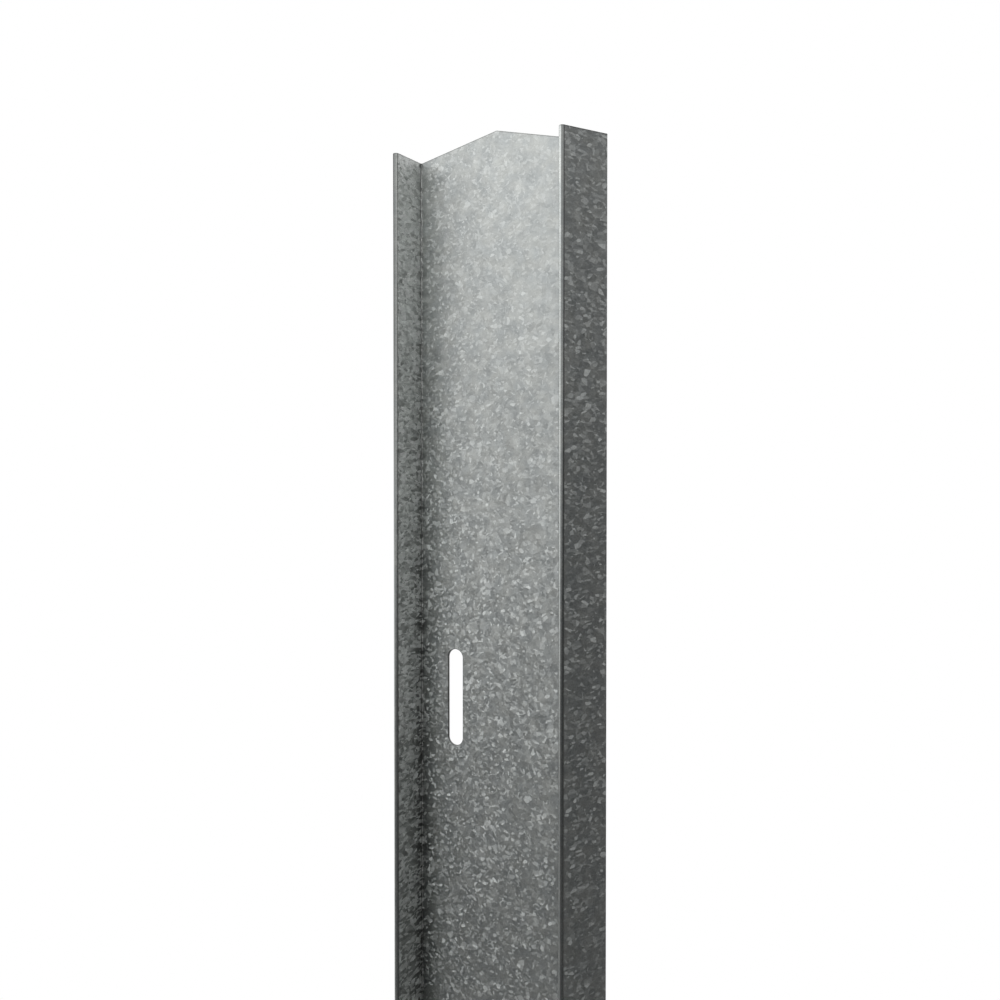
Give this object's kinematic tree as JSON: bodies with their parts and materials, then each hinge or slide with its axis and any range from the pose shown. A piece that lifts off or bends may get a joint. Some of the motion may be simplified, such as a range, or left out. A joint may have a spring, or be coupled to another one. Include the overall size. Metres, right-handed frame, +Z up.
{
  "type": "fence post",
  "caption": "Tall galvanised sheet steel fence post of shallow trough section, with sharply folded-back side wings, a low gabled top and an upright fixing slot.",
  "frame": {"origin": "middle of the web's sheet on the centre line, at the bottom end that goes into the ground", "axes": "+Z up the post; the trough between the flanges opens towards -Y and the web's flat rear face looks towards +Y; +X is across the web, with the slot on the -X side"},
  "size_m": [0.089, 0.0176, 1.8288],
  "materials": {
    "galvanised_steel": "hot-dip galvanised with a fine spangle, satin"
  },
  "bodies": {
    "root": {"fence_post": "galvanised_steel"}
  },
  "joints": []
}
